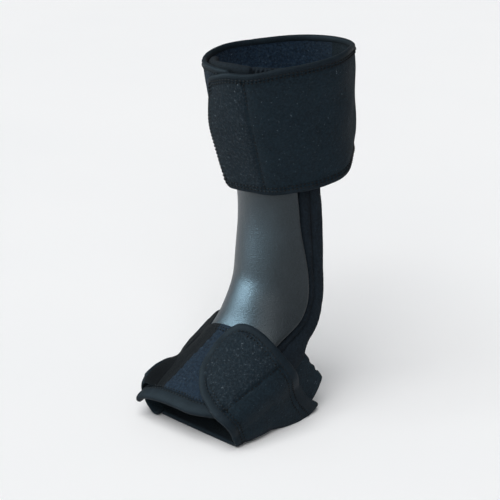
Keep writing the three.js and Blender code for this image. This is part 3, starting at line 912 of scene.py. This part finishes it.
def make_foot_under():
    """The sole and the lower part of the outer wall, which is hinged at the sole's outer edge."""
    t = np.concatenate([np.linspace(0, 0.6, 34), np.linspace(0.61, 1, 34)])
    S, T = np.meshgrid(lerp(FOOT_BACK, FOOT_FRONT, FOOT_ROWS), t, indexing="ij")
    A, inner, outer = under_path(S, T)
    moved = S + lean(A)
    panel = slab("foot_wrap_under", leg(moved, A, outer), leg(moved, A, inner), WRAP, ("last",))
    pieces, rows = [dress(panel, "wrap", "foot_sole")], []
    for place, border, way in (("back", FOOT_BACK, 1), ("front", FOOT_FRONT, -1)):
        line = np.full_like(t, float(border))
        a, _, outer = under_path(line, t)
        line = line + lean(a)
        inside = line + way * FOOT_EDGE
        d, name = np.maximum(outer - FOOT_TAPE_SINK, 2.35), f"foot_under_{place}_binding"
        strip = roll(name, (line, a), (inside, a), d, FOOT_TAPE_HALF, TAPE, 62, ends=(4, 0))
        pieces.append(dress(strip, "binding", f"foot_sole_{place}_edging"))
        wall = t > 0.66
        for k, high in ((0.85, 0.3), (1.25, 0.1)):
            rows.append(on_leg(lerp(line, inside, k)[wall], a[wall], outer[wall] + high))
    pieces.append(stitches("foot_under_stitches", rows))
    bend(pieces, "foot_flap_open", (0.030, 0, 0), (0.038, 0, 0.008))


def make_foot_over():
    """The flap's upper part and its rounded tab."""
    length, reach, r = FOOT_FRONT - FOOT_BACK, float(FOOT_SEAM - FOOT_TIP), TAB_CORNER
    wall = steps(WALL_FOLD, FOOT_SEAM, 1.5)
    out = np.concatenate([np.linspace(0.03, 0.5, 14), np.linspace(0.53, 1 - 3 / reach, 24)])
    from_tip = (1 - out) * reach
    inset = r - np.sqrt(np.clip(r**2 - np.clip(r - from_tip, 0, None) ** 2, 0, None))
    inset = np.concatenate([np.zeros(len(wall)), inset])
    S = FOOT_BACK + inset + (length - 2 * inset) * FOOT_ROWS[:, None]
    A = np.broadcast_to(np.concatenate([wall, FOOT_SEAM - reach * out]), S.shape)
    inner, outer = foot_offsets(S, A, sole_angle(S))
    seam = 2.8 * bell(A, foot_seam(S), 1.3)
    pucker = 1.1 * bell(S, FOOT_FRONT - 14, 9) * np.sin((S - A) / 2.6) * bell(A, FOOT_SEAM - 4, 7)
    pillow = 0.9 * smooth(A, FOOT_SEAM, FOOT_SEAM - 9)
    outer = outer - seam + pucker + pillow
    moved = S + lean(A)
    panel = slab("foot_wrap_over", leg(moved, A, outer), leg(moved, A, inner), WRAP, ("first",))
    two_fabrics(panel, A < FOOT_SEAM - 0.5, TAB)
    dress(panel, "wrap", "foot_flap", "foot_tab")

    edge, inside = foot_border(wall, length, reach, r)
    _, outer = foot_offsets(edge[0], edge[1], sole_angle(np.clip(edge[0], FOOT_BACK, FOOT_FRONT)))
    on_tab = smooth(edge[1], WALL_FOLD - 2, FOOT_SEAM + 8)
    edge, inside = ((s + lean(a), a) for s, a in (edge, inside))
    sink, half_height = lerp(FOOT_TAPE_SINK, 1.2, on_tab), lerp(FOOT_TAPE_HALF, 3.1, on_tab)
    tape = roll("foot_over_binding", edge, inside, outer - sink, half_height, TAPE, 62, ends=(0, 0))
    dress(tape, "binding", "foot_flap_back_edging", "foot_flap_front_edging", "foot_tab_edging")
    rows = [
        on_leg(lerp(edge[0], inside[0], k), lerp(edge[1], inside[1], k), outer + lerp(high, top, on_tab))
        for k, high, top in ((0.85, 0.3, 1.2), (1.25, 0.1, 0.5))
    ]
    seam_s = steps(FOOT_BACK + FOOT_EDGE + 2, FOOT_FRONT - FOOT_EDGE - 2, 2)
    rows.append(on_leg(seam_s + lean(FOOT_SEAM), foot_seam(seam_s), 16.8))
    thread = stitches("foot_over_stitches", rows)
    middle = (FOOT_BACK + FOOT_FRONT) / 2
    bend(
        [panel, tape, thread], "foot_tab_peel",
        leg(middle, FOOT_SEAM + 7, 16), leg(middle, FOOT_SEAM - 7, 16),
    )


def foot_border(wall, length, reach, r):
    """The flap's edge from the back of the wall, round the tab, to its front, and the line inside it."""
    points = [(0.0, FOOT_SEAM - a, FOOT_EDGE, FOOT_SEAM - a) for a in wall]
    points += [(0.0, y, FOOT_EDGE, y) for y in np.linspace(0, reach - r, 10)[1:]]
    inside = r - FOOT_EDGE
    for t in np.linspace(0, math.pi / 2, 22)[1:]:
        x, y = 1 - math.cos(t), math.sin(t)
        points.append((r * x, reach - r + r * y, FOOT_EDGE + inside * x, reach - r + inside * y))
    tip = [(x, reach, x, reach - FOOT_EDGE) for x in np.linspace(r, length - r, 8)[1:-1]]
    mirrored = [(length - x, y, length - xi, yi) for x, y, xi, yi in points[::-1]]
    x, y, xi, yi = np.array(points + tip + mirrored).T
    return (FOOT_BACK + x, FOOT_SEAM - y), (FOOT_BACK + xi, FOOT_SEAM - yi)


# ---------------------------------------------------------------- stage
def gloss(name, place, size, power, colour):
    """A soft lamp that only shows as a highlight on glossy surfaces."""
    light = bpy.data.lights.new(name, "AREA")
    light.shape, light.size, light.energy, light.color = "DISK", size, power, colour
    obj = bpy.data.objects.new(name, light)
    obj.location = place
    obj.rotation_euler = (Vector((0, 0.03, 0.16)) - Vector(place)).to_track_quat("-Z", "Y").to_euler()
    obj.visible_diffuse = False
    bpy.context.scene.collection.objects.link(obj)


def sun(name, towards, strength, softness):
    """Parallel soft light that comes from a direction. softness is its angle in degrees."""
    light = bpy.data.lights.new(name, "SUN")
    light.energy, light.angle = strength, math.radians(softness)
    obj = bpy.data.objects.new(name, light)
    obj.rotation_euler = Vector(towards).to_track_quat("Z", "Y").to_euler()
    bpy.context.scene.collection.objects.link(obj)


def make_stage():
    """The floor and the lights."""
    m = Shader("pale_floor")
    tone = m.mix(m.noise(3, 2, 0.5), linear("#f6f7f8"), linear("#fbfbfb"))
    m.finish(tone, m.bump(m.noise(20), 0.01, 0.001), 0.9, Specular_IOR_Level=0.1)
    corners = [(-3, -3, 0), (3, -3, 0), (3, 3, 0), (-3, 3, 0)]
    mesh_object("floor", corners, [(0, 1, 2, 3)], m.material)
    sun("overhead", (0.10, -0.45, 0.89), 2.0, 50)
    sun("front", (0.50, -0.62, 0.60), 0.9, 40)
    gloss("key", (-1.02, -0.98, 0.80), 1.0, 68, (0.62, 0.86, 1.0))
    gloss("low", (-0.10, -1.45, 0.22), 0.4, 3, (0.70, 0.90, 1.0))
    world = bpy.data.worlds.new("studio")
    bpy.context.scene.world = world
    world.use_nodes = True
    background = world.node_tree.nodes["Background"]
    background.inputs["Color"].default_value = (0.95, 0.97, 1.0, 1)
    background.inputs["Strength"].default_value = 0.22


def make_camera():
    azimuth, elevation, distance = math.radians(46), math.radians(20), 1.8
    aim = Vector((-0.0062, 0.0165, 0.1515))
    level = math.cos(elevation)
    back = Vector((math.sin(azimuth) * level, -math.cos(azimuth) * level, math.sin(elevation)))
    data = bpy.data.cameras.new("camera")
    data.lens = 144
    camera = bpy.data.objects.new("camera", data)
    camera.location = aim + back * distance
    camera.rotation_euler = (-back).to_track_quat("-Z", "Y").to_euler()
    bpy.context.scene.collection.objects.link(camera)
    bpy.context.scene.camera = camera


make_camera()
make_stage()
make_shell()
make_liner()
make_liner_rolls()
make_collar()
make_calf_medial()
make_calf_lateral()
make_calf_front()
make_loop_panel()
make_toe_binding()
make_medial_wing()
make_lateral_wing()
make_foot_under()
make_foot_over()
for node in frame["nodes"].values():
    if not node.hide_render:
        node.data.materials.clear()
        node.data.materials.append(HOOK)
bpy.context.scene.view_settings.view_transform = "Standard"
